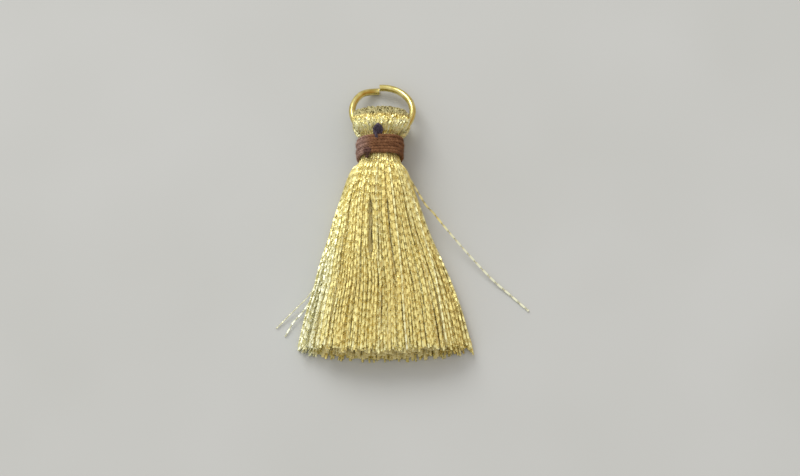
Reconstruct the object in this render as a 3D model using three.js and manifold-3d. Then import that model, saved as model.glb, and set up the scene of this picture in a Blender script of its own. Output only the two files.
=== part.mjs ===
// A small tassel of metallic gold thread on a jump ring, lying on its back.
// A hank of thread is folded over the ring, bound under the fold with brown
// thread, and cut to a fringe that spreads in a flat fan.
// Millimetres. +Z is up, away from the surface. +Y runs along the tassel,
// from the cut ends to the ring. The origin is on the underside, on the
// tassel's long axis, half way along its length.
import * as THREE from "three";
import Module from "manifold-3d";
import { mergeVertices } from "three/addons/utils/BufferGeometryUtils.js";

const wasm = await Module();
wasm.setup();

// ---- Driving dimensions -------------------------------------------------

const TASSEL_LENGTH = 34.3;
const HALF_LENGTH = TASSEL_LENGTH / 2;
const GAP = 0.3; // clearance between pieces that touch on the real tassel

// The jump ring is a wire turned once round. The end left of the seam is bent
// down beside the other, and lies on the surface; the ring's lower arc is up in
// the fold.
const RING = {
  outerDiameter: 8.0,
  wire: 0.8,
  tiltDeg: 19, // slope of the ring's plane, down towards its top
  seamDeg: 6, // how far left of the top the cut is
  cutDeg: 1, // opening between the two cut faces
  endOffset: 0.65, // how far one end is bent down from the ring's plane
  bend: 0.12, // share of the wire's length that the bend takes
  centreX: 0.15,
  sides: 12,
  steps: 60,
};

// The binding: turns of thread wound round the neck of the hank.
const BINDING = {
  turns: 6,
  from: 6.9, // y of its lower rim
  to: 9.65, // y of its upper rim
  thread: 0.5,
  valley: 0.3, // height of the hollow between two turns
  roundStations: [0, 0.2, 0.5, 0.8], // corners across one turn, as shares of it
  innerHalfWidth: 2.3,
  innerLow: 0.45,
  innerHigh: 4.75,
  centreX: -0.12,
  steps: 44,
};

// A darker thread ties the binding off. It stands out above the upper rim as
// a small loop, with both its feet against the binding.
const KNOT = {
  thread: 0.45,
  halfWidth: 0.42,
  centreX: -0.36,
  rise: 0.4, // along the tassel
  lift: 0.55, // away from the surface
  sides: 8,
  steps: 12,
};

// Single strands that have left the fringe.
const STRAND = { diameter: 0.24, sides: 6, stepLength: 0.9 };

// ---- The hank ------------------------------------------------------------

// The cut ends: each lock is trimmed a little longer or shorter.
const CUT_LOCKS = 9;
const CUT_UNEVEN = 0.18;
const CUT_LEAN = 0.25; // the upper strands end this much sooner than the lower
const CUT_REACH = 1.6; // length over which the unevenness runs out
const CUT_END = -HALF_LENGTH + CUT_UNEVEN; // where the ends lie on average

// One row for each section across the hank, from the cut ends to the fold.
// bow is how far the sides lag behind the middle, because the strands fan
// out from the neck; flat is 1 where the underside is round and more where
// the hank's weight flattens it on the surface.
const HANK_AROUND = 84;
const WIDEST_DROP = 0.16; // how much lower a flat section is widest
const SQUARER = 4; // how much squarer the corners of a flat underside are
const HANK_SECTIONS = [
  { y: CUT_END, halfWidth: 10.35, centreX: 0.4, low: 0, high: 3.7, bow: 1.1, flat: 1.5, steps: 2 },
  { y: -15.9, halfWidth: 10.1, centreX: 0.4, low: 0, high: 3.9, bow: 1.05, flat: 1.5, steps: 3 },
  { y: -13.0, halfWidth: 9.4, centreX: 0.38, low: 0, high: 4.2, bow: 1.0, flat: 1.5, steps: 3 },
  { y: -9.8, halfWidth: 8.45, centreX: 0.35, low: 0, high: 4.4, bow: 0.8, flat: 1.5, steps: 3 },
  { y: -6.2, halfWidth: 7.35, centreX: 0.1, low: 0, high: 4.6, bow: 0.6, flat: 1.5, steps: 3 },
  { y: -2.4, halfWidth: 6.0, centreX: -0.12, low: 0, high: 4.8, bow: 0.4, flat: 1.5, steps: 3 },
  { y: 1.2, halfWidth: 4.95, centreX: -0.25, low: 0, high: 5.0, bow: 0.2, flat: 1.4, steps: 3 },
  { y: 4.2, halfWidth: 3.9, centreX: -0.25, low: 0, high: 5.1, bow: 0, flat: 1.3, steps: 2 },
  { y: 5.7, halfWidth: 3.2, centreX: -0.22, low: 0.1, high: 5.1, bow: 0, flat: 1.2, steps: 1 },
  { y: 6.2, halfWidth: 2.8, centreX: -0.18, low: 0.3, high: 4.9, bow: 0, flat: 1.1, steps: 1 },
  { y: 6.5, halfWidth: 2.2, centreX: -0.12, low: 0.7, high: 4.5, bow: 0, flat: 1, steps: 1 },
  { y: 6.65, halfWidth: 2.0, centreX: -0.12, low: 0.78, high: 4.42, bow: 0, flat: 1, steps: 1 },
  { y: 9.95, halfWidth: 2.0, centreX: -0.12, low: 0.78, high: 4.42, bow: 0, flat: 1, steps: 1 },
  { y: 10.3, halfWidth: 2.75, centreX: 0.0, low: 0.35, high: 4.8, bow: 0, flat: 1.1, steps: 1 },
  { y: 10.8, halfWidth: 3.12, centreX: 0.04, low: 0.08, high: 5.15, bow: 0, flat: 1.2, steps: 1 },
  { y: 11.5, halfWidth: 3.45, centreX: 0.05, low: 0, high: 5.3, bow: 0, flat: 1.3, steps: 2 },
  { y: 12.3, halfWidth: 3.5, centreX: 0.0, low: 0.2, high: 5.05, bow: 0, flat: 1.1, steps: 1 },
  { y: 12.8, halfWidth: 3.3, centreX: -0.05, low: 0.65, high: 4.6, bow: 0, flat: 1, steps: 1 },
  { y: 13.2, halfWidth: 2.95, centreX: -0.12, low: 1.25, high: 4.0, bow: 0, flat: 1, steps: 1 },
  { y: 13.45, halfWidth: 2.2, centreX: -0.15, low: 1.95, high: 3.3, bow: 0, flat: 1, steps: 1 },
];

// Partings, where locks of strands lie apart on the upper side. u is the
// place across the fan, from -1 at the left edge to 1 at the right edge.
const PARTING_HALF_WIDTH = 0.07;
const PARTING_RUN_OUT = 1.4; // length over which a parting fades, mm
const PARTINGS = [
  { u: -0.17, from: -5.5, to: 1.4, depth: 0.8 },
  { u: 0.2, from: -8.6, to: 0.6, depth: 0.6 },
  { u: 0.14, from: -16.6, to: -9.0, depth: 0.8 },
  { u: 0.6, from: -4.4, to: 1.0, depth: 0.4 },
  { u: 0.63, from: -12.6, to: -8.4, depth: 0.5 },
  { u: -0.02, from: -14.4, to: -11.4, depth: 0.45 },
  { u: -0.41, from: CUT_END, to: -14.6, depth: 0.6 },
];

// Places that the strands outside the fringe pass, from the neck outwards.
const STRAND_ROUTES = {
  strand_right: [
    { x: 3.3, y: 5.95, z: 3.1 },
    { x: 4.05, y: 4.55, z: 3.0 },
    { x: 4.9, y: 2.6, z: 2.6 },
    { x: 6.2, y: 0.75, z: 2.1 },
    { x: 7.75, y: -1.3, z: 1.6 },
    { x: 10.5, y: -4.4, z: 0.9 },
    { x: 13.1, y: -7.15, z: 0.45 },
    { x: 15.2, y: -9.0, z: 0.22 },
    { x: 17.4, y: -11.0, z: 0.14 },
  ],
  strand_left_upper: [
    { x: -7.95, y: -6.6, z: 1.5 },
    { x: -8.95, y: -8.75, z: 1.2 },
    { x: -9.9, y: -10.6, z: 0.8 },
    { x: -11.6, y: -12.5, z: 0.3 },
    { x: -12.35, y: -13.2, z: 0.15 },
  ],
  strand_left_lower: [
    { x: -8.75, y: -10.0, z: 0.9 },
    { x: -9.55, y: -11.4, z: 0.6 },
    { x: -10.4, y: -12.55, z: 0.4 },
    { x: -11.3, y: -14.25, z: 0.15 },
  ],
};

// ---- Materials -----------------------------------------------------------

const finish = (color, roughness, metalness) =>
  new THREE.MeshStandardMaterial({ color, roughness, metalness });

const MATERIALS = {
  ringMetal: finish("#c9aa4a", 0.22, 1),
  goldThread: finish("#cdb768", 0.38, 0.85),
  brownThread: finish("#6b4a34", 0.85, 0),
  darkThread: finish("#453a3c", 0.85, 0),
};

// ---- Geometry helpers ----------------------------------------------------

// A closed geometry as a manifold-3d solid, and back again.
function solidOf(geometry) {
  const bare = new THREE.BufferGeometry();
  bare.setAttribute("position", geometry.getAttribute("position"));
  if (geometry.index) bare.setIndex(geometry.index);
  const merged = mergeVertices(bare, 1e-4);
  return new wasm.Manifold(
    new wasm.Mesh({
      numProp: 3,
      vertProperties: new Float32Array(merged.attributes.position.array),
      triVerts: new Uint32Array(merged.index.array),
    }),
  );
}

function geometryOf(solid) {
  const mesh = solid.getMesh();
  const geometry = new THREE.BufferGeometry();
  geometry.setAttribute("position", new THREE.BufferAttribute(mesh.vertProperties, 3));
  geometry.setIndex(new THREE.BufferAttribute(mesh.triVerts, 1));
  geometry.computeVertexNormals();
  return geometry;
}

// A skin over rows of points that each run once round, closed by a fan at
// both ends, or joined end to end when the rows themselves form a loop.
function skin(rows, looped) {
  const around = rows[0].length;
  const points = rows.flat();
  const faces = [];
  const bands = looped ? rows.length : rows.length - 1;
  for (let i = 0; i < bands; i++) {
    const near = i * around;
    const far = ((i + 1) % rows.length) * around;
    for (let j = 0; j < around; j++) {
      const k = (j + 1) % around;
      faces.push(near + j, far + j, near + k, near + k, far + j, far + k);
    }
  }
  if (!looped) {
    for (const end of [0, rows.length - 1]) {
      const centre = rows[end].reduce((sum, p) => sum.add(p), new THREE.Vector3());
      centre.divideScalar(around);
      const hub = points.push(centre) - 1;
      for (let j = 0; j < around; j++) {
        const a = end * around + j;
        const b = end * around + ((j + 1) % around);
        faces.push(hub, ...(end === 0 ? [a, b] : [b, a]));
      }
    }
  }
  const geometry = new THREE.BufferGeometry().setFromPoints(points);
  geometry.setIndex(faces);
  geometry.computeVertexNormals();
  return geometry;
}

// A round bar swept along a curve, with flat ends.
function bar(curve, diameter, sides, steps) {
  const section = new THREE.Shape(
    Array.from({ length: sides }, (_, i) => {
      const turn = (i / sides) * 2 * Math.PI;
      return new THREE.Vector2(Math.cos(turn), Math.sin(turn)).multiplyScalar(diameter / 2);
    }),
  );
  return new THREE.ExtrudeGeometry(section, { extrudePath: curve, steps, curveSegments: 1 });
}

// The value of one column at y, on a curve through the rows that never
// overshoots them.
function columnAt(rows, column, y) {
  const slope = (i) =>
    (rows[i + 1][column] - rows[i][column]) / (rows[i + 1].y - rows[i].y);
  const tangent = (i) => {
    if (i === 0) return slope(0);
    if (i === rows.length - 1) return slope(i - 1);
    const before = slope(i - 1);
    const after = slope(i);
    return before * after <= 0 ? 0 : (2 * before * after) / (before + after);
  };
  let i = 0;
  while (i < rows.length - 2 && y > rows[i + 1].y) i++;
  const span = rows[i + 1].y - rows[i].y;
  const t = (y - rows[i].y) / span;
  const rise = rows[i + 1][column] - rows[i][column];
  const startTangent = tangent(i) * span;
  const endTangent = tangent(i + 1) * span;
  return (
    rows[i][column] +
    startTangent * t +
    (3 * rise - 2 * startTangent - endTangent) * t * t +
    (startTangent + endTangent - 2 * rise) * t * t * t
  );
}

// ---- Jump ring -----------------------------------------------------------

class RingCentreline extends THREE.Curve {
  constructor() {
    super();
    this.radius = (RING.outerDiameter - RING.wire) / 2;
    const tilt = THREE.MathUtils.degToRad(RING.tiltDeg);
    this.up = new THREE.Vector3(0, Math.cos(tilt), -Math.sin(tilt));
    this.normal = new THREE.Vector3(0, Math.sin(tilt), Math.cos(tilt));
    const topReach = (RING.outerDiameter / 2) * Math.cos(tilt);
    const lowestEnd = this.radius * Math.sin(tilt) + RING.endOffset * Math.cos(tilt);
    this.centre = new THREE.Vector3(
      RING.centreX,
      HALF_LENGTH - topReach,
      lowestEnd + RING.wire / 2,
    );
  }

  // From the lower end, left of the seam, down the left side and round.
  getPoint(t, target = new THREE.Vector3()) {
    const sweep = 360 - RING.cutDeg;
    const turn = THREE.MathUtils.degToRad(RING.seamDeg + RING.cutDeg / 2 + t * sweep);
    return target
      .copy(this.centre)
      .addScaledVector(new THREE.Vector3(-1, 0, 0), this.radius * Math.sin(turn))
      .addScaledVector(this.up, this.radius * Math.cos(turn))
      .addScaledVector(
        this.normal,
        (THREE.MathUtils.smoothstep(t, 0, RING.bend) - 1) * RING.endOffset,
      );
  }
}

const ringLine = new RingCentreline();

function jumpRing() {
  return bar(ringLine, RING.wire, RING.sides, RING.steps);
}

// ---- Hank of thread ------------------------------------------------------

function partingDepth(u, y) {
  return PARTINGS.reduce((depth, parting) => {
    const across = (u - parting.u) / PARTING_HALF_WIDTH;
    const inRun =
      THREE.MathUtils.smoothstep(y, parting.from - PARTING_RUN_OUT, parting.from) *
      (1 - THREE.MathUtils.smoothstep(y, parting.to, parting.to + PARTING_RUN_OUT));
    return depth + parting.depth * inRun * Math.exp(-across * across);
  }, 0);
}

function hankSection(y) {
  const at = (column) => columnAt(HANK_SECTIONS, column, y);
  const low = at("low");
  const high = at("high");
  const flattened = at("flat") - 1;
  const widest = low + (0.5 - WIDEST_DROP * flattened) * (high - low);
  const squareness = 2 + SQUARER * flattened;
  const cutEnd = 1 - THREE.MathUtils.smoothstep(y, CUT_END, CUT_END + CUT_REACH);
  return Array.from({ length: HANK_AROUND }, (_, j) => {
    const turn = (j / HANK_AROUND) * 2 * Math.PI;
    const u = Math.cos(turn);
    const upper = Math.sin(turn) >= 0;
    const fall = Math.sqrt(1 - Math.abs(u) ** (upper ? 2 : squareness));
    const z = upper
      ? widest + (high - widest - partingDepth(u, y)) * fall
      : Math.max(low, widest - (widest - low) * (1 + flattened) * fall);
    const lean = CUT_LEAN * ((z - low) / (high - low));
    const uneven = CUT_UNEVEN * Math.sin(CUT_LOCKS * Math.PI * u) * (1 - u ** 6);
    return new THREE.Vector3(
      at("centreX") + at("halfWidth") * u,
      y + at("bow") * u * u + cutEnd * (lean + uneven),
      z,
    );
  });
}

function hankStations() {
  const stations = [];
  HANK_SECTIONS.forEach((row, i) => {
    const next = HANK_SECTIONS[i + 1];
    if (!next) {
      stations.push(row.y);
      return;
    }
    for (let s = 0; s < row.steps; s++) {
      stations.push(row.y + ((next.y - row.y) * s) / row.steps);
    }
  });
  return stations;
}

// The hank, with the way that the ring's wire takes through its fold.
function threadHank() {
  const body = solidOf(skin(hankStations().map(hankSection), false));
  const way = solidOf(bar(ringLine, RING.wire + 2 * GAP, RING.sides, RING.steps));
  return geometryOf(body.subtract(way));
}

// ---- Binding -------------------------------------------------------------

// The wound thread in section: an inner wall and one round for each turn.
function bindingProfile() {
  const { from, to, turns, thread, valley, roundStations } = BINDING;
  const pitch = (to - from) / turns;
  const profile = [{ out: 0, y: from }];
  for (let turn = 0; turn < turns; turn++) {
    for (const share of roundStations) {
      profile.push({
        out: valley + (thread - valley) * Math.sin(share * Math.PI),
        y: from + (turn + share) * pitch,
      });
    }
  }
  profile.push({ out: valley, y: to });
  profile.push({ out: 0, y: to });
  return profile.reverse(); // so that the skin's faces point outwards
}

function binding() {
  const profile = bindingProfile();
  const midHeight = (BINDING.innerLow + BINDING.innerHigh) / 2;
  const halfHeight = (BINDING.innerHigh - BINDING.innerLow) / 2;
  const rows = Array.from({ length: BINDING.steps }, (_, i) => {
    const turn = (i / BINDING.steps) * 2 * Math.PI;
    return profile.map(
      ({ out, y }) =>
        new THREE.Vector3(
          BINDING.centreX + (BINDING.innerHalfWidth + out) * Math.cos(turn),
          y,
          Math.max(0, midHeight + (halfHeight + out) * Math.sin(turn)),
        ),
    );
  });
  return skin(rows, true);
}

// ---- Loop of the tie, and loose strands ------------------------------------

function tieLoop() {
  const { halfWidth, centreX, rise, lift } = KNOT;
  const foot = BINDING.to + GAP + KNOT.thread / 4;
  const high = BINDING.innerHigh + BINDING.thread;
  const place = (across, along, up) =>
    new THREE.Vector3(centreX + across * halfWidth, foot + along * rise, high + up * lift);
  const curve = new THREE.CatmullRomCurve3([
    place(-1, 0, 0),
    place(-0.75, 0.5, 0.65),
    place(0, 1, 1),
    place(0.75, 0.5, 0.65),
    place(1, 0, 0),
  ]);
  return bar(curve, KNOT.thread, KNOT.sides, KNOT.steps);
}

function looseStrand(route) {
  const curve = new THREE.CatmullRomCurve3(
    route.map(({ x, y, z }) => new THREE.Vector3(x, y, z)),
  );
  const steps = Math.ceil(curve.getLength() / STRAND.stepLength);
  return bar(curve, STRAND.diameter, STRAND.sides, steps);
}

// ---- The tassel ----------------------------------------------------------

function piece(name, geometry, material) {
  const mesh = new THREE.Mesh(geometry, material);
  mesh.name = name;
  return mesh;
}

const tassel = new THREE.Group();
tassel.add(piece("jump_ring", jumpRing(), MATERIALS.ringMetal));
tassel.add(piece("thread_hank", threadHank(), MATERIALS.goldThread));
tassel.add(piece("binding", binding(), MATERIALS.brownThread));
tassel.add(piece("tie_loop", tieLoop(), MATERIALS.darkThread));
for (const [name, route] of Object.entries(STRAND_ROUTES)) {
  tassel.add(piece(name, looseStrand(route), MATERIALS.goldThread));
}

export default tassel;
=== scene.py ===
# %% [markdown]
# # A small tassel of metallic gold thread
#
# The tassel is about 34 mm long. A hank of gold thread is folded over a jump
# ring, bound under the fold with brown thread, and cut to a fringe. It lies on
# a pale table top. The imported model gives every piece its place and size; this
# script gives each one its threads, its finish and its light.

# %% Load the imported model
import math
import random
from functools import partial

import bpy
import numpy as np
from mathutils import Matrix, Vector, noise


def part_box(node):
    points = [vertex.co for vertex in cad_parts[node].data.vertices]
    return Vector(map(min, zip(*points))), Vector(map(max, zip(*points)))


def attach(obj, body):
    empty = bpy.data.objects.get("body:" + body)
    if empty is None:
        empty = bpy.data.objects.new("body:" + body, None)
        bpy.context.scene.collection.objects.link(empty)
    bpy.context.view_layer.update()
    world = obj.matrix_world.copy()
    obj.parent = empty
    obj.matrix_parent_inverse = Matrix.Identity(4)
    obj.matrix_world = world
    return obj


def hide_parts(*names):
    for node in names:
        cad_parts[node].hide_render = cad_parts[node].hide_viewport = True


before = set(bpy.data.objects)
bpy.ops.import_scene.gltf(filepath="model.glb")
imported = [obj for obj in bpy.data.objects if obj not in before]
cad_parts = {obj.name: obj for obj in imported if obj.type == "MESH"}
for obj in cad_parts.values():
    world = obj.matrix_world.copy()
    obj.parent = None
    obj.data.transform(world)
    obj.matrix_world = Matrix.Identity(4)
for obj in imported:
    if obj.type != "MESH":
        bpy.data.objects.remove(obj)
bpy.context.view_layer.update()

scene = bpy.context.scene
print("nodes:", ", ".join(sorted(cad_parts)))

# %% [markdown]
# ## Small helpers
#
# Sizes below are in millimetres, because that is how a maker measures a tassel.
# Blender's scene is in metres, so `MM` turns one into the other. Colours are
# written as the hex values that a paint chart uses, and shaders want linear
# light, so one function turns them. One more adds a node with its settings and
# its links, so that a node tree reads as a list; where it is called `add`, its
# tree is already set.

# %% Units, colours, nodes and objects
MM = 0.001


def linear(hex_colour):
    """An sRGB hex colour as linear red, green, blue and alpha."""
    channels = [int(hex_colour[i:i + 2], 16) / 255 for i in (1, 3, 5)]
    curve = [c / 12.92 if c <= 0.04045 else ((c + 0.055) / 1.055) ** 2.4 for c in channels]
    return (*curve, 1.0)


def add_node(tree, kind, inputs=None, **settings):
    """Adds a node; inputs maps a socket to a value, a node (its first output) or outputs."""
    node = tree.nodes.new(kind)
    for name, value in settings.items():
        setattr(node, name, value)
    for key, value in (inputs or {}).items():
        for source in value if isinstance(value, list) else [value]:
            if isinstance(source, bpy.types.Node):
                source = source.outputs[0]
            if isinstance(source, bpy.types.NodeSocket):
                tree.links.new(source, node.inputs[key])
            else:
                node.inputs[key].default_value = source
    return node


def box_mm(node):
    """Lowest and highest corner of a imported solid, in mm."""
    return [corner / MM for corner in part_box(node)]


def add_object(name, data):
    thing = bpy.data.objects.new(name, data)
    scene.collection.objects.link(thing)
    return thing


def stand_off(name, data, centre, direction, distance):
    """Adds a camera or lamp that looks at centre from some mm away in a direction."""
    thing = add_object(name, data)
    thing.location = (centre + direction * distance) * MM
    thing.rotation_euler = (-direction).to_track_quat("-Z", "Y").to_euler()
    return thing


print("mid grey in linear light:", round(linear("#808080")[0], 3))

# %% [markdown]
# ## Camera
#
# A tassel this small is looked at from above, a little from the side of the cut
# ends. A long lens from half a metre away keeps the ring and the fringe at the
# same scale, as they look when one holds such a thing at arm's length.

# %% Make the camera
CAMERA_ELEVATION = math.radians(71)
CAMERA_LENS = 200.0
CAMERA_SENSOR = 36.0
CAMERA_CLIP = (0.01, 20.0)  # metres
VIEW_WIDTH = 94.8  # how much of the table the picture takes in from side to side
VIEW_CENTRE = Vector((2.25, -1.85, 0.0))

camera_data = bpy.data.cameras.new("camera")
camera_data.lens = CAMERA_LENS
camera_data.sensor_width = CAMERA_SENSOR
camera_data.clip_start, camera_data.clip_end = CAMERA_CLIP
towards_camera = Vector((0, -math.cos(CAMERA_ELEVATION), math.sin(CAMERA_ELEVATION)))
camera_distance = VIEW_WIDTH * CAMERA_LENS / CAMERA_SENSOR
scene.camera = stand_off("camera", camera_data, VIEW_CENTRE, towards_camera, camera_distance)
print(f"camera {camera_distance:.0f} mm away")

# %% [markdown]
# ## Light
#
# Thin metal film shows what surrounds it: it is bright where it turns a face to
# the window and dull where it turns away. So the light is simple: an even pale
# room, and one broad soft lamp from the upper left that draws the glints and
# the soft shadows. Together they add up to about one, so a colour renders as
# bright as it is written.

# %% Lamp
LAMP_DIRECTION = Vector((-0.66, 1.08, 1.0)).normalized()
LAMP_DISTANCE = 1100.0
LAMP_SIZE = 690.0
LAMP_SHARE = 0.32  # of the light on a level surface; the room gives the rest

lamp_data = bpy.data.lights.new("window", "AREA")
lamp_data.shape = "DISK"
lamp_data.size = LAMP_SIZE * MM
# a lamp of power p gives p * cos(angle) / (pi * distance squared) on a level
# surface, and a white surface there looks pi times darker than that
lamp_data.energy = LAMP_SHARE * math.pi ** 2 * (LAMP_DISTANCE * MM) ** 2 / LAMP_DIRECTION.z
lamp = stand_off("window", lamp_data, Vector(), LAMP_DIRECTION, LAMP_DISTANCE)
lamp.visible_camera = False
print(f"lamp {lamp_data.energy:.2f} W")

# %% Room
ROOM_CEILING, ROOM_WALLS = 0.86, 0.56  # brightness overhead and round about
CEILING_FALL = 2.0  # the higher, the sooner it gets darker away from overhead
ROOM_SIDE = Vector((-0.7, 0.7, 0.0))  # the window's side of the room is brighter
ROOM_SLANT = 0.3  # by this share, and the far side is darker by as much
WARM_SIDE = Vector((0.95, 0.0, -0.3))  # low down on the right stands something warm
WARM_FROM, WARM_FULL = 0.15, 0.8  # 1 is straight towards it
PALE_WALL, WARM_WALL = "#fbfcff", "#ffd394"

world = bpy.data.worlds.new("room")
world.use_nodes = True
world_tree = world.node_tree
world_tree.nodes.clear()
add = partial(add_node, world_tree)
direction = add("ShaderNodeTexCoord").outputs["Generated"]
upward = add("ShaderNodeSeparateXYZ", {"Vector": direction})
overhead = add("ShaderNodeMath", {0: upward.outputs["Z"], 1: CEILING_FALL},
               operation="POWER", use_clamp=True)
evenly = add("ShaderNodeMapRange", {
    "Value": overhead, "To Min": ROOM_WALLS, "To Max": ROOM_CEILING})
sideways = add("ShaderNodeVectorMath", {0: direction, 1: ROOM_SIDE}, operation="DOT_PRODUCT")
slant = add("ShaderNodeMath", {0: sideways.outputs["Value"], 1: ROOM_SLANT, 2: 1.0},
            operation="MULTIPLY_ADD")
brightness = add("ShaderNodeMath", {0: evenly, 1: slant}, operation="MULTIPLY")
rightward = add("ShaderNodeVectorMath", {0: direction, 1: WARM_SIDE}, operation="DOT_PRODUCT")
warmth = add("ShaderNodeMapRange", {
    "Value": rightward.outputs["Value"], "From Min": WARM_FROM, "From Max": WARM_FULL})
walls = add("ShaderNodeMix", {0: warmth, 6: linear(PALE_WALL), 7: linear(WARM_WALL)},
            data_type="RGBA")
room = add("ShaderNodeBackground", {"Color": walls.outputs[2], "Strength": brightness})
add("ShaderNodeOutputWorld", {"Surface": room})
scene.world = world
scene.view_settings.view_transform = "Standard"
print(f"room from {ROOM_WALLS} to {ROOM_CEILING}")

# %% [markdown]
# ## Finishes
#
# Each finish starts from what the real material is and how it was made. The
# table's comes first, because it is the plainest. Every finish has soft patterns
# at one or two real sizes. They read Object coordinates, so they stay in place.

# %% Starting and ending a finish
def new_material(name, *patterns):
    """A node material, its `add`, and a noise for each pattern's size in mm and detail."""
    material = bpy.data.materials.new(name)
    material.use_nodes = True
    material.node_tree.nodes.clear()
    add = partial(add_node, material.node_tree)
    place = add("ShaderNodeTexCoord").outputs["Object"]
    return material, add, *(
        add("ShaderNodeTexNoise", {"Vector": place, "Scale": 1 / (size * MM), "Detail": detail})
        for size, detail in patterns)


def finish_material(material, inputs):
    """Ends a material with a surface shader that has these inputs."""
    surface = add_node(material.node_tree, "ShaderNodeBsdfPrincipled", inputs)
    add_node(material.node_tree, "ShaderNodeOutputMaterial", {"Surface": surface})
    print("finish:", material.name)
    return material


def set_stops(ramp_node, stops):
    """Sets a colour ramp to stops, which are positions with their hex colours."""
    elements = ramp_node.color_ramp.elements
    while len(elements) < len(stops):
        elements.new(0.5)
    for element, (position, hex_colour) in zip(elements, stops):
        element.position = position
        element.color = linear(hex_colour)


# %% Table top
# A matt laminate: pale grey, with a faint cloudiness a few centimetres across.
TABLE_HALF = 600.0


def table_laminate():
    material, add, clouds = new_material("matt pale grey laminate", (30, 2.0))
    shade = add("ShaderNodeValToRGB", {"Fac": clouds})
    set_stops(shade, ((0.3, "#c6c7c2"), (0.7, "#cbccc8")))
    return finish_material(material, {
        "Base Color": shade, "Roughness": 0.6, "Specular IOR Level": 0.2})


table_mesh = bpy.data.meshes.new("table_top")
table_mesh.from_pydata(
    [(x * TABLE_HALF * MM, y * TABLE_HALF * MM, 0)
     for x, y in ((-1, -1), (1, -1), (1, 1), (-1, 1))],
    [], [(0, 1, 2, 3)])
table_mesh.materials.append(table_laminate())
add_object("table_top", table_mesh)

# %% Gold-plated wire
# Drawn brass wire with a bright gold plating. It is smooth, so it mirrors the
# room in long lines round the ring. Wear has left patches about a millimetre
# across a little paler and duller, and very fine marks all over.
def gold_plated_wire():
    material, add, wear, marks = new_material("gold plated drawn wire", (0.9, 3.0), (0.06, 2.0))
    tone = add("ShaderNodeValToRGB", {"Fac": wear})
    set_stops(tone, ((0.35, "#cdb764"), (0.65, "#e9d98e")))
    polish = add("ShaderNodeMapRange", {"Value": wear, "To Min": 0.12, "To Max": 0.22})
    relief = add("ShaderNodeBump", {"Height": marks, "Strength": 0.12, "Distance": 0.01 * MM})
    return finish_material(material, {
        "Base Color": tone, "Metallic": 1.0, "Roughness": polish, "Normal": relief})


RING_METAL = gold_plated_wire()

# %% Metallic film
# Polyester film with a metal coating under a yellow lacquer, twisted round a fine core. Each
# thread has its own shade, from pale silver gold to deep gold. Some places are painted paler as
# light. Where the film folds over the ring it is rougher and painted a darker, greyer gold as
# shade. Its "tone" attribute carries that from 0 to 1, and the film is a little creased.
FILM_TONES = ((0.0, "#f5f4d2"), (0.3, "#f7efb0"), (0.5, "#f5e595"), (0.7, "#f0dc8c"),
              (1.0, "#c6bd8c"))
FILM_DULL_FROM = 0.75  # above this tone the coating is dull


def metallic_film():
    material, add, creases = new_material("gold metallised film", (0.12, 2.0))
    tone = add("ShaderNodeAttribute", attribute_name="tone").outputs["Fac"]
    colour = add("ShaderNodeValToRGB", {"Fac": tone})
    set_stops(colour, FILM_TONES)
    relief = add("ShaderNodeBump", {"Height": creases, "Strength": 0.35, "Distance": 0.03 * MM})
    dulled = add("ShaderNodeMapRange", {
        "Value": tone, "From Min": FILM_DULL_FROM, "To Min": 0.36, "To Max": 0.7})
    return finish_material(material, {
        "Base Color": colour, "Metallic": 0.68, "Specular IOR Level": 0.15,
        "Roughness": dulled, "Normal": relief})


FILM = metallic_film()

# %% Core yarn
# The threads inside the bundle are never seen but through the gaps. Their film
# is slack there and shows the pale yellow yarn of its core, which has no gloss
# and sends a soft warm light out through the gaps.
def core_yarn():
    material, add, mottle = new_material("pale yellow core yarn", (0.3, 2.0))
    shade = add("ShaderNodeMix", {0: mottle, 6: linear("#eedd94"), 7: linear("#faf0b8")},
                data_type="RGBA")
    return finish_material(material, {
        "Base Color": shade.outputs[2], "Roughness": 0.8, "Specular IOR Level": 0.2})


CORE_YARN = core_yarn()

# %% Sewing thread
# Spun and plied sewing thread. It has no gloss; its fine fibres stand out enough to soften the
# outline. Its "tone" attribute runs from the thread's own colour, 0, to a second one, 1, and each
# of the two is a deep and a pale shade. On the binding the second colour is painted light, the
# paler, greyer look of its lit left side. On the tangle it is the faded thread's own colour.
def sewing_thread(name, own, faded_or_painted_light):
    material, add, fibres, patches = new_material(name, (0.07, 3.0), (0.6, 2.0))
    blend = add("ShaderNodeMath", {0: fibres, 1: patches}, operation="ADD")
    shade = add("ShaderNodeMapRange", {"Value": blend, "From Min": 0.72, "From Max": 1.32})
    shades = [add("ShaderNodeMix", {0: shade, 6: linear(deep), 7: linear(pale)},
                  data_type="RGBA").outputs[2] for deep, pale in (own, faded_or_painted_light)]
    tone = add("ShaderNodeAttribute", attribute_name="tone").outputs["Fac"]
    colour = add("ShaderNodeMix", {0: tone, 6: shades[0], 7: shades[1]}, data_type="RGBA")
    relief = add("ShaderNodeBump", {"Height": fibres, "Strength": 0.7, "Distance": 0.05 * MM})
    return finish_material(material, {
        "Base Color": colour.outputs[2], "Roughness": 0.9, "Sheen Weight": 0.1,
        "Sheen Roughness": 0.5, "Specular IOR Level": 0.2, "Normal": relief})


BROWN = sewing_thread(
    "brown spun sewing thread", ("#664026", "#9c6e4a"), ("#7c5b4d", "#b69382"))
DARK = sewing_thread(
    "dark spun sewing thread", ("#393139", "#655a68"), ("#52372e", "#75534a"))

# %% [markdown]
# ## Growing pieces from guide lines
#
# Everything on this tassel is a long thin thing that follows a path: wire, film
# or thread. So each piece starts as guide lines, which are bare edges, and a
# Geometry Nodes tree gives the lines their body. The tree's sizes are named
# inputs. The result is turned into a plain mesh, because only plain meshes can
# be handed on.

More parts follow.
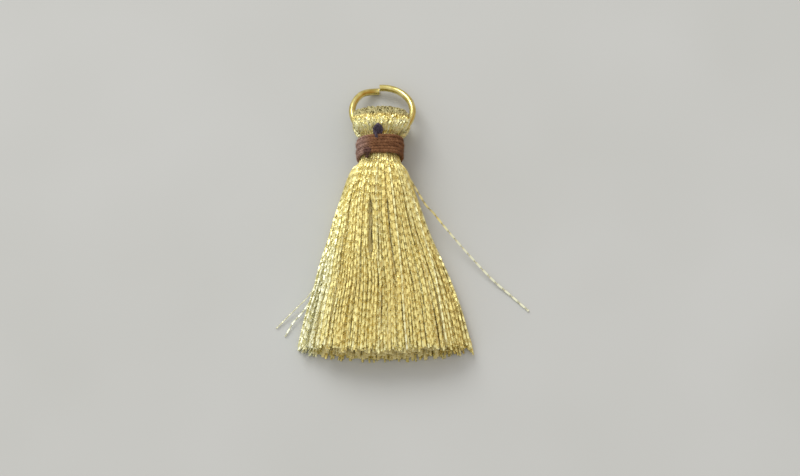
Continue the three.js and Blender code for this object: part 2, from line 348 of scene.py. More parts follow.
# %% Starting and ending a tree
def geometry_tree(name, sizes):
    """A Geometry Nodes tree with a named input for each size, these inputs and its `add`."""
    tree = bpy.data.node_groups.new(name, "GeometryNodeTree")
    tree.interface.new_socket("Geometry", in_out="INPUT", socket_type="NodeSocketGeometry")
    for label, value in sizes.items():
        kind = "NodeSocketInt" if isinstance(value, int) else "NodeSocketFloat"
        socket = tree.interface.new_socket(label, in_out="INPUT", socket_type=kind)
        socket.default_value = value
    tree.interface.new_socket("Material", in_out="INPUT", socket_type="NodeSocketMaterial")
    tree.interface.new_socket("Geometry", in_out="OUTPUT", socket_type="NodeSocketGeometry")
    return tree, tree.nodes.new("NodeGroupInput").outputs, partial(add_node, tree)


def close_tree(tree, material, geometry):
    """Ends a tree: one real mesh, in its material."""
    real = add_node(tree, "GeometryNodeRealizeInstances", {"Geometry": geometry})
    painted = add_node(tree, "GeometryNodeSetMaterial", {"Geometry": real, "Material": material})
    add_node(tree, "NodeGroupOutput", {"Geometry": painted})
    print(f"tree {tree.name}: {len(tree.nodes)} nodes")
    return tree


def even_line(add, guides, step):
    """Makes the guide lines smooth curves, with a point every step."""
    line = add("GeometryNodeMeshToCurve", {"Mesh": guides})
    curved = add("GeometryNodeCurveSplineType", {"Curve": line}, spline_type="CATMULL_ROM")
    return add("GeometryNodeResampleCurve", {"Curve": curved, "Length": step}, mode="LENGTH")


def round_section(add, width, sides):
    """A circle, width across, to sweep along a curve."""
    radius = add("ShaderNodeMath", {0: width, 1: 0.5}, operation="MULTIPLY")
    return add("GeometryNodeCurvePrimitiveCircle", {"Resolution": sides, "Radius": radius})


# %% From guide lines to a plain mesh
def guide_mesh(name, routes):
    """One mesh of bare edges from routes, each with points in mm and a number or list per name."""
    points, edges, values = [], [], {}
    for route in routes:
        first = len(points)
        line = route["points"]
        points += [Vector(p) * MM for p in line]
        edges += [(first + i, first + i + 1) for i in range(len(line) - 1)]
        for key, value in route.items():
            if key != "points":
                spread = value if isinstance(value, list) else [value] * len(line)
                values.setdefault(key, []).extend(spread)
    mesh = bpy.data.meshes.new(name)
    mesh.from_pydata(points, edges, [])
    for key, numbers in values.items():
        mesh.attributes.new(key, "FLOAT", "POINT").data.foreach_set("value", numbers)
    return mesh


def grow(name, routes, tree, values, material):
    """Runs a tree on guide lines and returns the result as a plain mesh object."""
    carrier = add_object(name + "_guide", guide_mesh(name + "_guide", routes))
    modifier = carrier.modifiers.new("grow", "NODES")
    modifier.node_group = tree
    wanted = {**values, "Material": material}
    for item in tree.interface.items_tree:
        if item.in_out == "INPUT" and item.name in wanted:
            modifier[item.identifier] = wanted[item.name]
    depsgraph = bpy.context.evaluated_depsgraph_get()
    mesh = bpy.data.meshes.new_from_object(carrier.evaluated_get(depsgraph))
    mesh.name = name
    bpy.data.objects.remove(carrier)
    triangles = sum(len(p.vertices) - 2 for p in mesh.polygons)
    print(f"{name}: {len(routes)} lines, {triangles} triangles")
    return add_object(name, mesh)


# %% [markdown]
# ## Jump ring
#
# The ring is a round wire bent once round and cut square. It was opened to take
# the thread, so one end is still bent down a little beside the other. It is a
# circle but for that bend, so its guide line is a formula, and the tree sweeps a
# round section along it.

# %% The ring's line
RING_WIRE = 0.8
RING_TILT = math.radians(19)  # slope of its plane, down towards its top
RING_SEAM = math.radians(6)  # how far left of the top the cut is
RING_CUT = math.radians(1)  # opening between the two cut faces
RING_OFFSET = 0.65  # how far one end is bent down from the ring's plane
RING_BEND = 0.12  # share of the wire's length that the bend takes
RING_POINTS = 120

ring_low, ring_high = box_mm("jump_ring")
RING_RADIUS = (ring_high.x - ring_low.x - RING_WIRE) / 2
ring_up = Vector((0, math.cos(RING_TILT), -math.sin(RING_TILT)))
ring_normal = Vector((0, math.sin(RING_TILT), math.cos(RING_TILT)))
ring_centre = Vector((
    (ring_low.x + ring_high.x) / 2,
    ring_high.y - (RING_RADIUS + RING_WIRE / 2) * math.cos(RING_TILT),
    ring_high.z - RING_RADIUS * math.sin(RING_TILT) - RING_WIRE / 2))


def smooth(value, start, end):
    """0 before start, 1 after end, and a soft slope between; start may be above end."""
    t = min(1.0, max(0.0, (value - start) / (end - start)))
    return t * t * (3 - 2 * t)


def ring_point(share):
    """A point on the wire's middle line, share 0 to 1 from the lower end to the upper."""
    turn = RING_SEAM + RING_CUT / 2 + share * (2 * math.pi - RING_CUT)
    return (ring_centre
            - Vector((RING_RADIUS * math.sin(turn), 0, 0))
            + ring_up * RING_RADIUS * math.cos(turn)
            + ring_normal * (smooth(share, 0, RING_BEND) - 1) * RING_OFFSET)


print(f"ring radius {RING_RADIUS:.2f} mm, centre {tuple(round(c, 2) for c in ring_centre)}")


# %% Wire tree
def wire_tree():
    tree, sizes, add = geometry_tree("Round wire", {"Wire": RING_WIRE * MM, "Sides": 32})
    line = add("GeometryNodeMeshToCurve", {"Mesh": sizes["Geometry"]})
    section = round_section(add, sizes["Wire"], sizes["Sides"])
    body = add("GeometryNodeCurveToMesh", {
        "Curve": line, "Profile Curve": section, "Fill Caps": True})
    return close_tree(tree, sizes["Material"], body)


jump_ring = grow(
    "jump_ring_wire",
    [{"points": [ring_point(i / RING_POINTS) for i in range(RING_POINTS + 1)]}],
    wire_tree(), {"Wire": RING_WIRE * MM}, RING_METAL)
for polygon in jump_ring.data.polygons:
    polygon.use_smooth = len(polygon.vertices) == 4  # the two cut faces stay flat

# %% [markdown]
# ## The hank's outline
#
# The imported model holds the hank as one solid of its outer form. The threads
# have to fill that form, so the script slices the solid across at many places
# and keeps, for each slice, where it starts and ends from side to side and from
# bottom to top. Inside the binding the threads fill its bore.

# %% Slice the solid
FRINGE_END, HEAD_END = (corner.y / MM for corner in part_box("thread_hank"))
binding_low, binding_high = box_mm("binding")
BINDING_WALL = 0.5
BINDING_FLOOR = 0.35  # under the neck the turns are pressed flatter
BORE_BELOW, BORE_ABOVE = 0.5, 0.1  # how far past the binding its bore shapes the hank
SLICE_STEP = 0.4
SLICE_FIRST = FRINGE_END + 2.2  # nearer the end the corners of the fan are cut off
SLICE_LAST = HEAD_END - 1.2

hank_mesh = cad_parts["thread_hank"].data
hank_corners = np.array([v.co for v in hank_mesh.vertices]) / MM
hank_edges = np.array([e.vertices[:] for e in hank_mesh.edges])
edge_starts, edge_ends = hank_corners[hank_edges[:, 0]], hank_corners[hank_edges[:, 1]]


def slice_hank(y):
    """Left, right, lowest and highest place where the solid crosses y."""
    before, after = edge_starts[:, 1] - y, edge_ends[:, 1] - y
    crossing = before * after < 0
    share = (before / (before - after + 1e-12))[crossing, None]
    cut = edge_starts[crossing] + (edge_ends[crossing] - edge_starts[crossing]) * share
    return (cut[:, 0].min(), cut[:, 0].max(), cut[:, 2].min(), cut[:, 2].max())


slice_ys = np.arange(SLICE_FIRST, SLICE_LAST, SLICE_STEP)
slices = np.array([slice_hank(y) for y in slice_ys])
bore = np.array([binding_low.x + BINDING_WALL, binding_high.x - BINDING_WALL,
                 binding_low.z + BINDING_FLOOR, binding_high.z - BINDING_WALL])
slices[(slice_ys > binding_low.y - BORE_BELOW) & (slice_ys < binding_high.y + BORE_ABOVE)] = bore


def outline(y):
    """Left, right, low and high of the hank at y, carried on straight past the first slice."""
    columns = [float(np.interp(y, slice_ys, slices[:, c])) for c in range(4)]
    past = min(0.0, y - SLICE_FIRST)
    return [value + past * (slices[2, c] - slices[0, c]) / (2 * SLICE_STEP)
            for c, value in enumerate(columns)]


fan_left, fan_right, _, _ = outline(FRINGE_END)
print(f"{len(slices)} slices; the fan is {fan_right - fan_left:.1f} mm wide at its end")

# %% [markdown]
# ## Where each thread runs
#
# A thread starts at the cut end in front, runs up through the fringe and the
# neck, turns over the ring in the head, and comes back down behind. Its place
# in the bundle is two numbers that stay the same all the way: `across`, from -1
# at the left edge to 1 at the right, and `depth`, from 0 in the middle of the
# bundle to 1 at its skin. Some things change along the way, and each has the
# two places, in mm along the tassel, where its change begins and is complete.

# %% Layers of the bundle
# each layer's depth, from 0 in the middle to 1 at the skin, how many threads it
# has, and how far across the bundle it reaches
LAYERS = ((0.2, 22, 0.7), (0.48, 30, 0.78), (0.72, 44, 0.86),
          (0.84, 52, 1.0), (0.92, 57, 1.0), (0.99, 61, 1.0))
SKIN_FROM = 3  # the layers from here on are skin; the others are the core
# the core stops short of the sides, where more of the fine threads fill the fan
SIDE_LAYERS = (0.15, 0.4, 0.6, 0.75)
SIDE_THREADS = 5
SIDE_FROM = 0.76
OUTERMOST = 0.976  # where the outermost threads of the bundle lie
THIN_LEFT, THIN_RIGHT = 0.8, 0.9  # below 1, the threads thin out towards that edge
THINS_OUT = (3.0, -8.0)


def mix(a, b, share):
    return a + (b - a) * share


def fan_place(across, y):
    """Place across the fan; towards the cut end the threads at its edges lie further apart."""
    thinning = mix(1.0, THIN_LEFT if across < 0 else THIN_RIGHT, smooth(y, *THINS_OUT))
    inside = 1 - (1 - abs(across)) ** thinning
    full = 1 - (1 - OUTERMOST) ** thinning
    return math.copysign(inside / full, across)


# even shares of a round bundle's width, which is fuller in the middle
disc_grid = np.linspace(-1, 1, 401)
disc_share = np.cumsum(np.sqrt(1 - disc_grid ** 2))
disc_share /= disc_share[-1]


def spread_in_disc(share):
    """Turns even shares from 0 to 1 into places across a round bundle."""
    return float(np.interp(share, disc_share, disc_grid))


print(f"{sum(beside for _, beside, _ in LAYERS)} threads in {len(LAYERS)} layers")

# %% [markdown]
# The neck is round and the fringe flat, with its edges down on the table. The
# neck has no room for all the threads of a layer side by side, so there some of
# them sink under their neighbours, and they come up again lower down, where the
# fan opens. A thread's `rank` says how soon it sinks.

# %% Place in a slice
ELBOW_ROOM = 0.36  # threads closer together than this sink under each other
SINKING = 0.34  # how far
SINKING_SOFT = 0.25  # over how much of the rank the sinking sets in
LEAST = 0.02  # no depth or width gets below this
FLATTENS = (6.0, 1.5)
FRINGE_MIDDLE = 0.38  # height of the fringe's middle, as a share of its thickness
EDGE_FALL = 0.8  # and how far that falls at its edges
UPPER_SQUARE, LOWER_SQUARE = 3, 5  # 2 would be an ellipse
LEAST_HEIGHT = 0.3


def sunk(depth, thread, half_width, half_height):
    """Depth of a thread where the bundle is half_width wide: crowded threads sink."""
    round_fall = math.sqrt(max(LEAST, 1 - thread["across"] ** 2))
    spacing = half_width * math.pi / (2 * thread["beside"] * round_fall)
    sinking = SINKING * smooth(thread["rank"] - spacing / ELBOW_ROOM, 0.0, SINKING_SOFT)
    return math.copysign(max(LEAST, abs(depth) - sinking / half_height), depth)


def section_place(place, depth, y, thread):
    """x and z of a thread at y; depth is -1 at the underside and 1 at the upper skin."""
    left, right, low, high = outline(y)
    half_width = (right - left) / 2
    spread = smooth(y, *FLATTENS)
    middle = low + (high - low) * mix(0.5, FRINGE_MIDDLE, spread)
    edge = min(1.0, abs(place))
    middle -= (middle - low) * EDGE_FALL * spread * edge ** 2
    if depth > 0:
        half_height, squareness = high - middle, UPPER_SQUARE
    else:
        half_height, squareness = middle - low, LOWER_SQUARE
    half_height *= math.sqrt(1 - edge ** mix(2, squareness, spread))
    at = sunk(depth, thread, half_width, max(LEAST_HEIGHT, half_height))
    return (left + right) / 2 + place * half_width, middle + at * half_height


# %% [markdown]
# Locks of neighbouring threads cling together. Each thread is drawn towards the
# nearest lock of its layer, more so towards its free end.

# %% Locks
SEED = 7
LOCKS = 15
LOCK_PULL = 0.08
LOOSENS = (4.0, -12.0)  # the threads find places of their own
LOCK_JITTER, LOCK_STRENGTHS = (0.1, 0.9), (0.2, 1.0)

lock_random = random.Random(SEED)
lock_places, lock_strengths = [], []
for layer in range(len(LAYERS) * 2):
    shares = [(k + lock_random.uniform(*LOCK_JITTER)) / LOCKS for k in range(LOCKS)]
    lock_places.append(sorted(spread_in_disc(share) for share in shares))
    lock_strengths.append([lock_random.uniform(*LOCK_STRENGTHS) for _ in range(LOCKS)])


def locked_place(across, layer, y):
    """Place across the fan of a thread that its lock draws sideways."""
    places = lock_places[layer]
    nearest = min(range(LOCKS), key=lambda k: abs(places[k] - across))
    pull = LOCK_PULL * lock_strengths[layer][nearest] * smooth(y, *LOOSENS)
    return fan_place(across, y) + (places[nearest] - across) * pull


print(f"{LOCKS} locks in each of {len(lock_places)} layers, front and back")

# %% [markdown]
# Between some locks there are narrow partings. Where one is deep, the outer
# threads beside it are pushed apart, and the pale yarn of the core shows between
# them. A thread stays on one side of a parting all along it.

# %% Partings
PARTING_REACH = 0.08  # how far to either side a parting pushes threads, across
PARTING_SLIT = 0.35  # share of that in which they have sunk
PARTING_RUN_OUT = 1.6
# each parting: its place across, where along the tassel it begins and ends, how
# far it opens to either side and how deep the threads in it have sunk
PARTINGS = (
    (-0.17, -4.6, 0.4, 0.31, 0.2),
    (0.20, -7.6, 0.6, 0.15, 0.2),
    (0.14, -16.0, -9.0, 0.05, 0.3),
    (0.60, -4.4, 1.0, 0.05, 0.25),
    (0.63, -12.6, -8.4, 0.05, 0.25),
    (-0.02, -14.4, -11.4, 0.04, 0.25),
)


def parting_sides(across, layer):
    """How far right of each parting a thread lies, half way along the parting."""
    return [locked_place(across, layer, (begins + ends) / 2) - at
            for at, begins, ends, _, _ in PARTINGS]


def parting_push(place, sides, y, half_width):
    """Sideways push, across, and sinking in mm, from the partings near a thread."""
    push = sinking = 0.0
    for (at, begins, ends, opening, deep), side in zip(PARTINGS, sides):
        run = (smooth(y, begins - PARTING_RUN_OUT, begins)
               * smooth(y, ends + PARTING_RUN_OUT, ends))
        near = math.exp(-((place - at) / PARTING_REACH) ** 2)
        in_slit = math.exp(-((place - at) / (PARTING_SLIT * PARTING_REACH)) ** 2)
        push += math.copysign(opening / half_width, side) * run * near
        sinking += deep * run * in_slit
    return push, sinking


print(f"{len(PARTINGS)} partings")

# %% The threads that have come away at the right edge
SPLAY_PLACE = 0.93  # the threads right of here have come away from the fan
SPLAY_SOFT = 0.02
SPLAYS = (-1.0, -14.0)
SPLAY_GAP = 0.6
SPLAY_DRAW = 0.6  # the threads left of the gap are drawn back by this share of it
SPLAY_DRAW_REACH = 0.3


def splay_push(place, y, half_width):
    """Pushes the rightmost threads out, and draws the ones next to them in."""
    run = smooth(y, *SPLAYS) * SPLAY_GAP / half_width
    inner, outer = SPLAY_PLACE - SPLAY_SOFT, SPLAY_PLACE + SPLAY_SOFT
    drawn = (SPLAY_DRAW * smooth(place, SPLAY_PLACE - SPLAY_DRAW_REACH, SPLAY_PLACE)
             * smooth(place, outer, inner))
    return run * (smooth(place, inner, outer) - drawn)


print(f"the gap at the right edge opens to {SPLAY_GAP} mm")

# %% [markdown]
# A thread has two legs, one in front and one behind. Each is laid from its cut
# end up, point by point, and strays from its place only where the binding no
# longer holds it.

# %% One leg of a thread, from its cut end to the top of the neck
NECK_TOP = binding_high.y
LEG_STEP = 0.8
CUT_BACK = 0.2  # how far short of the solid's end the scissors cut
CUT_BOW = 1.1  # how much sooner the side threads end than the middle ones
CUT_LEAN = 0.1  # and the upper ones than the lower
ON_TOP = (0.6, 0.9)  # the partings open only the layers outside these depths
LIFTED_DEPTHS = (0.2, 1.0)
FREES = (5.5, -8.0)  # the binding holds the threads no more, and they sway
LIFTS = (7.0, 4.0)
MIDDLE_DRIFT = 0.4  # share of their drift that the threads in the middle have
LIE_LOW, CORE_LIE_LOW = 0.12, 0.22  # about half a thread's width above the table


def leg_points(thread, depth, layer, wander):
    """Points of a leg; depth is negative for a leg on the underside."""
    across = thread["across"]
    end = (FRINGE_END + CUT_BACK + CUT_BOW * min(1, fan_place(across, FRINGE_END) ** 2)
           + CUT_LEAN * (depth + 1) / 2 + wander["cut"])
    steps = round((NECK_TOP - end) / LEG_STEP)
    sides = parting_sides(across, layer)
    on_top = smooth(depth, *ON_TOP)
    points = []
    for i in range(steps + 1):
        y = end + (NECK_TOP - end) * i / steps
        left, right, _, _ = outline(y)
        half_width = (right - left) / 2
        place = locked_place(across, layer, y)
        push, sinking = parting_push(place, sides, y, half_width)
        place += push * on_top + splay_push(place, y, half_width)
        place += (smooth(y, *FREES) * wander["sway"] / half_width
                  * math.sin(wander["turn"] + y / wander["length"]))
        place += wander["drift"] * mix(MIDDLE_DRIFT, 1.0, across ** 4) * smooth(y, *LOOSENS)
        if abs(place) > 1:  # no thread leaves the fan's outline
            place = math.copysign(2 - abs(place), place)
        x, z = section_place(place, depth, y, thread)
        z += (wander["lift"] * smooth(y, *LIFTS) * smooth(abs(depth), *LIFTED_DEPTHS)
              - sinking * on_top)
        points.append(Vector((x, y, max(z, LIE_LOW if thread["skin"] else CORE_LIE_LOW))))
    return points


print(f"about {(NECK_TOP - FRINGE_END) / LEG_STEP:.0f} guide points to a leg")

# %% [markdown]
# Above the binding the threads balloon out into the head before they turn. The
# innermost ones hug the wire of the ring, and the outermost ones make the
# head's rounded top, so the turns are nested loops. The threads are loose here,
# so they sway and ripple, and cross one another a little.

# %% The wire inside the fold
WIRE_CLEARANCE = 0.1
WIRE_SIDE = 0.995  # threads are laid on the ring's arc out to this share of its radius


def power(value, exponent):
    """A power that keeps the sign; below 1 it makes a curve squarer, above 1 slimmer."""
    return math.copysign(abs(value) ** exponent, value)


def wire_at(x):
    """Height along Y and Z of the ring's lower arc, the part inside the fold, at x."""
    across = min(abs(x - ring_centre.x), RING_RADIUS * WIRE_SIDE)
    drop = math.sqrt(RING_RADIUS ** 2 - across ** 2)
    middle = ring_centre - ring_up * drop
    return middle.y, middle.z


print(f"the fold turns round the wire {wire_at(ring_centre.x)[1]:.1f} mm above the table")

# %% Over the ring
HEAD_MIDDLE = 2.62  # height of the head's middle above the table
HEAD_HALF_HEIGHT = 2.8
HEAD_SIDE_FALL = 0.85  # below 1, the head keeps some height at its sides
HEAD_PACKED = 0.6  # below 1, the inner layers lie closer under the outermost
SHOULDER_LEFT, SHOULDER_RIGHT = 1.0, 1.5  # how far the sides stop short of the top
SHOULDER_SQUARE = 3.5  # 2 would be round shoulders
LOOP_STEPS = 28
LOOP_FILL, LOOP_BLUNT = 0.8, 0.5  # 1 and 1 would be an ellipse from the side
IN_HEAD = (0.0, 0.28)  # how much of the loop's rise the bundle takes to balloon out
FILM_WIDTH = 0.2
HEAD_SWAY = 0.2
HEAD_RIPPLE = 0.12
HEAD_RIPPLES = 7


def head_points(thread, depth, wander):
    """The turn over the ring, from the top of the neck in front to the neck behind."""
    across = thread["across"]
    left, right, low, high = bore
    neck_middle, neck_half_height = (low + high) / 2, (high - low) / 2
    neck_half_height *= math.sqrt(1 - across ** 2)
    neck_depth = sunk(depth, thread, (right - left) / 2, neck_half_height)
    left, right, _, _ = outline(SLICE_LAST)
    head_half = (right - left) / 2
    head_depth = sunk(depth ** HEAD_PACKED, thread, head_half, HEAD_HALF_HEIGHT)
    around_wire = RING_WIRE / 2 + WIRE_CLEARANCE
    wire_y, wire_z = wire_at((left + right) / 2 + across * head_half)
    shoulder = SHOULDER_LEFT if across < 0 else SHOULDER_RIGHT
    outer_tip = (HEAD_END - FILM_WIDTH / 2
                 - shoulder * (1 - math.sqrt(1 - abs(across) ** SHOULDER_SQUARE)))
    tip = mix(min(wire_y + around_wire, outer_tip), outer_tip, head_depth)
    outer_height = HEAD_HALF_HEIGHT * math.sqrt(1 - (HEAD_SIDE_FALL * across) ** 2)
    full_height = mix(around_wire, outer_height, head_depth)
    points = []
    for i in range(1, LOOP_STEPS):
        turn = math.pi * i / LOOP_STEPS
        rise, front = math.sin(turn), math.cos(turn)
        y = NECK_TOP + (tip - NECK_TOP) * rise ** LOOP_FILL
        in_head = smooth(rise, *IN_HEAD)
        middle = mix(neck_middle, mix(wire_z, HEAD_MIDDLE, head_depth), in_head)
        height = mix(neck_half_height * neck_depth, full_height, in_head)
        z = middle + power(front, LOOP_BLUNT) * height
        left, right, _, _ = outline(y)
        x = (left + right) / 2 + across / OUTERMOST * (right - left - FILM_WIDTH) / 2
        astray = HEAD_SWAY * in_head * (1 - across ** 4)
        x += astray * math.sin(wander["turn"] + 3.0 * turn * wander["length"])
        z += HEAD_RIPPLE * in_head * math.sin(3 * wander["turn"] + 2 * HEAD_RIPPLES * turn)
        points.append(Vector((x, y, max(z, LIE_LOW))))
    return points


print(f"{LOOP_STEPS - 1} guide points over the ring, {HEAD_END - NECK_TOP:.1f} mm high")

# %% [markdown]
# Metallic thread changes all along its length. Its shade varies in patches, and its film leans to
# one side or the other. Light and shade are painted into its colour too: it is painted paler at
# the fringe's left edge, over the head and near the cut, and a darker, duller grey gold over the
# fold, where it is also rougher. It untwists and lies wider where it was cut and where it folds
# over the ring. Each guide point carries these as numbers.

# %% Shade, lean, turn and width along a thread
# painted light: the edge, head and cut values make the threads paler. They do so at the fringe's
# left edge on the lamp's side, over the head for its glints, and near the cut ends to lift their
# shade, where the pale core of the cut film also shows
PATCHY, WARM_STREAK, PAINTED_LIGHT_EDGE, PAINTED_HIGHLIGHT_HEAD, PAINTED_LIGHT_CUT = 0.12, 0.1, 0.35, 0.22, 0.15
TONE_PATCH = (0.35, 0.16, 3.0)  # patches a millimetre across and along, and a seed
LEAN_PATCH = (0.3, 0.22, 7.0)
# a streak of deeper, warmer gold near 0.17 across, in the lower fringe beside the parting near 0.2
WARM_PLACE, WARM_WIDTH = 0.17, 0.05
WARMS, PALES = (-4.0, -9.0), (2.0, -8.0)
PALE_PLACES = (-0.6, -0.9)
HEAD_BEGINS = (NECK_TOP, NECK_TOP + 0.8)
# painted shade: over the fold the tone goes to 1, a darker, duller grey gold, for the head's top,
# which lies in shade
FOLD_PAINTED_SHADE = (HEAD_END - 2.1, HEAD_END - 1.2)
CUT_BEGINS = (FRINGE_END + 1.6, FRINGE_END + 0.6)
LEAN_PATCHES = math.radians(25)
TWIST_SPREAD = 0.4  # radians, from one guide point to the next
CUT_SWELL, FOLD_SWELL = 1.5, 1.8  # times the film's width
UNTWISTS = (3.0, -14.0)
FOLD_UNTWISTS = (HEAD_END - 3.2, HEAD_END - 1.8)


def patch_at(point, across, along, seed):
    return noise.noise(Vector((point.x * across, point.y * along, seed)))


def tone_at(point, base):
    """A thread's shade at a point, from 0, pale, through deep gold to 1, dull; it holds painted
    light and painted shade.
    """
    left, right, _, _ = outline(point.y)
    place = (2 * point.x - left - right) / (right - left)
    warm = math.exp(-((place - WARM_PLACE) / WARM_WIDTH) ** 2) * smooth(point.y, *WARMS)
    pale = smooth(place, *PALE_PLACES) * smooth(point.y, *PALES)
    shade = (base + PATCHY * patch_at(point, *TONE_PATCH) + WARM_STREAK * warm
             - PAINTED_LIGHT_EDGE * pale - PAINTED_HIGHLIGHT_HEAD * smooth(point.y, *HEAD_BEGINS)
             - PAINTED_LIGHT_CUT * smooth(point.y, *CUT_BEGINS))
    return min(1.0, max(0.0, mix(shade, 1.0, smooth(point.y, *FOLD_PAINTED_SHADE))))


def lean_at(point):
    """How far the film's faces lean aside at a point: whole patches lie alike."""
    return LEAN_PATCHES * patch_at(point, *LEAN_PATCH)


def swell_at(point):
    return (1 + (CUT_SWELL - 1) * smooth(point.y, *UNTWISTS)
            + (FOLD_SWELL - 1) * smooth(point.y, *FOLD_UNTWISTS))


def uneven_phases(count, rng):
    """Turn of the film at its guide points: no thread is twisted quite evenly."""
    phases = [rng.uniform(0, math.pi)]
    while len(phases) < count:
        phases.append(phases[-1] + rng.gauss(0, TWIST_SPREAD))
    return phases


print(f"the film is up to {FILM_WIDTH * swell_at(Vector((0, HEAD_END, 0))):.2f} mm wide")

# %% Places in the bundle
PLACE_JITTER, DEPTH_JITTER, SIDE_DEPTH_JITTER = 0.2, 0.02, 0.08
RANK_SHIFT = 5  # so that sinking threads don't line up from layer to layer
SIDE_BESIDE = 50  # as in the skin


def bit_reversed(i):
    """An even order that fills the widest gaps first: 0, 1/2, 1/4, 3/4, 1/8 and so on."""
    return int(f"{i:08b}"[::-1], 2) / 2 ** 8


thread_random = random.Random(SEED + 1)
placed = []
for layer, (layer_depth, beside, reach) in enumerate(LAYERS):
    for i in range(beside):
        jitter = thread_random.uniform(-PLACE_JITTER, PLACE_JITTER)
        share = (i + 0.25 + 0.5 * (layer % 2) + jitter) / beside  # staggered like bricks
        placed.append({
            "across": reach * max(-OUTERMOST, min(OUTERMOST, spread_in_disc(share))),
            "depth": layer_depth + thread_random.uniform(-DEPTH_JITTER, DEPTH_JITTER),
            "layer": layer, "skin": layer >= SKIN_FROM,
            "beside": beside, "rank": bit_reversed(i + RANK_SHIFT * layer)})
for layer_depth in SIDE_LAYERS:
    for side in (-1, 1):
        for i in range(SIDE_THREADS):
            share = (i + thread_random.uniform(0.1, 0.9)) / SIDE_THREADS
            jitter = thread_random.uniform(-SIDE_DEPTH_JITTER, SIDE_DEPTH_JITTER)
            placed.append({
                "across": side * mix(SIDE_FROM, OUTERMOST, share),
                "depth": layer_depth + jitter, "layer": SKIN_FROM, "skin": True,
                "beside": SIDE_BESIDE, "rank": 0.0})
print(f"{len(placed)} threads, {sum(t['skin'] for t in placed)} of them in the skin")

# %% [markdown]
# No two threads run alike. Each leg has its own sway, height and cut end, and the scissors missed
# a few. Some of the outermost threads on the right have slipped over their neighbours. They catch
# more light, so they are painted a little paler, a painted highlight.

# %% How a leg strays
CUT_RAGGED = 0.26
CUT_LONGEST = -0.5  # no end stands out further than this
CUT_MISSED = 0.03  # share of threads that the scissors cut clearly long or short
MISSED_TIMES = 3
CORE_SHORT = 0.15  # the core's ends stand back a little behind the skin's
DRIFT = 0.045  # how far a thread strays from its place in the fan, across
CROSSING = 0.16  # share of the outermost threads that lie across their neighbours
CROSSING_FROM = 0.0  # they are all right of here
CROSSING_TIMES = 4.5  # they drift so many times further
CROSSING_LIFT = 0.14  # how far they lie above the others
# painted highlight: the crossing threads are painted this much paler
CROSSING_PAINTED_HIGHLIGHT = 0.18
SWAY, SWAY_LENGTH, LIFT = (0.03, 0.16), (2.2, 4.5), (-0.14, 0.1)


def wander_of(thread):
    """How one leg of a thread strays from its place in the bundle."""
    missed = thread_random.random() < CUT_MISSED
    crossing = (thread["layer"] == len(LAYERS) - 1 and thread_random.random() < CROSSING
                and thread["across"] > CROSSING_FROM)
    ragged = CUT_RAGGED * (MISSED_TIMES if missed else 1)
    return {
        "crossing": crossing,
        "sway": thread_random.uniform(*SWAY),
        "turn": thread_random.uniform(0, 2 * math.pi),
        "length": thread_random.uniform(*SWAY_LENGTH),
        "lift": CROSSING_LIFT if crossing else thread_random.uniform(*LIFT),
        "cut": (max(CUT_LONGEST, thread_random.gauss(0, ragged))
                + (0 if thread["skin"] else CORE_SHORT)),
        "drift": thread_random.uniform(-DRIFT, DRIFT) * (CROSSING_TIMES if crossing else 1),
    }


print(f"about {CROSSING:.0%} of the outermost threads cross others")

# %% Run the threads
SHADE, SHADE_SPREAD = 0.5, 0.09
LEAN_SPREAD = math.radians(9)  # from thread to thread
FLAT_SPREAD = math.radians(14)  # from one flat to the next along a thread
HEAD_FLAT_TIMES = 3.5  # and so many times more in the head

core, skin = [], []
for thread in placed:
    layer, depth = thread["layer"], thread["depth"]
    front_wander, back_wander = wander_of(thread), wander_of(thread)
    front = leg_points(thread, depth, layer, front_wander)
    back = leg_points(thread, -depth, layer + len(LAYERS), back_wander)
    points = front + head_points(thread, depth, front_wander) + back[::-1]
    base = (thread_random.gauss(SHADE, SHADE_SPREAD)
            - (CROSSING_PAINTED_HIGHLIGHT if front_wander["crossing"] else 0))
    thread_lean = thread_random.gauss(0, LEAN_SPREAD)
    (skin if thread["skin"] else core).append({
        "points": points,
        "phase": uneven_phases(len(points), thread_random),
        "lean": [lean_at(p) + thread_lean + thread_random.gauss(0, FLAT_SPREAD * (
            HEAD_FLAT_TIMES if p.y > NECK_TOP else 1)) for p in points],
        "tone": [tone_at(p, base) for p in points],
        "swell": [swell_at(p) for p in points],
    })
print(f"{sum(len(t['points']) for t in core + skin)} guide points")

# %% [markdown]
# ## Twisting the film
#
# Metallic thread glitters in dashes because it is a flat film, folded over and
# over along its length: a face shows, then an edge, then the other face. In a
# bundle the faces settle flat and the film turns over quickly between them. The
# tree gives each guide line a flat section and tilts it by half a turn every
# `Half twist`. `Settling` is 0 for an even twist and 1 for long flats with quick
# turns. The section keeps its corners sharp, so that the faces stay flat.

# %% Film tree
FILM_THICKNESS = 0.1
HALF_TWIST = 1.05
STEPS = 7  # points in each half twist
SETTLING = 1.0
FLATTENING = ((2.0, -0.75), (4.0, 0.15))  # times the turn, and share, of each swing


def settled_angle(add, turned, settling):
    """An even turn with swings added, so that it rests at each half turn and hurries between."""
    swings = []
    for times, share in FLATTENING:
        multiple = add("ShaderNodeMath", {0: turned, 1: times}, operation="MULTIPLY")
        wave = add("ShaderNodeMath", {0: multiple}, operation="SINE")
        swings.append(add("ShaderNodeMath", {0: wave, 1: share}, operation="MULTIPLY"))
    swing = add("ShaderNodeMath", {0: swings[0], 1: swings[1]}, operation="ADD")
    return add("ShaderNodeMath", {0: swing, 1: settling, 2: turned}, operation="MULTIPLY_ADD")


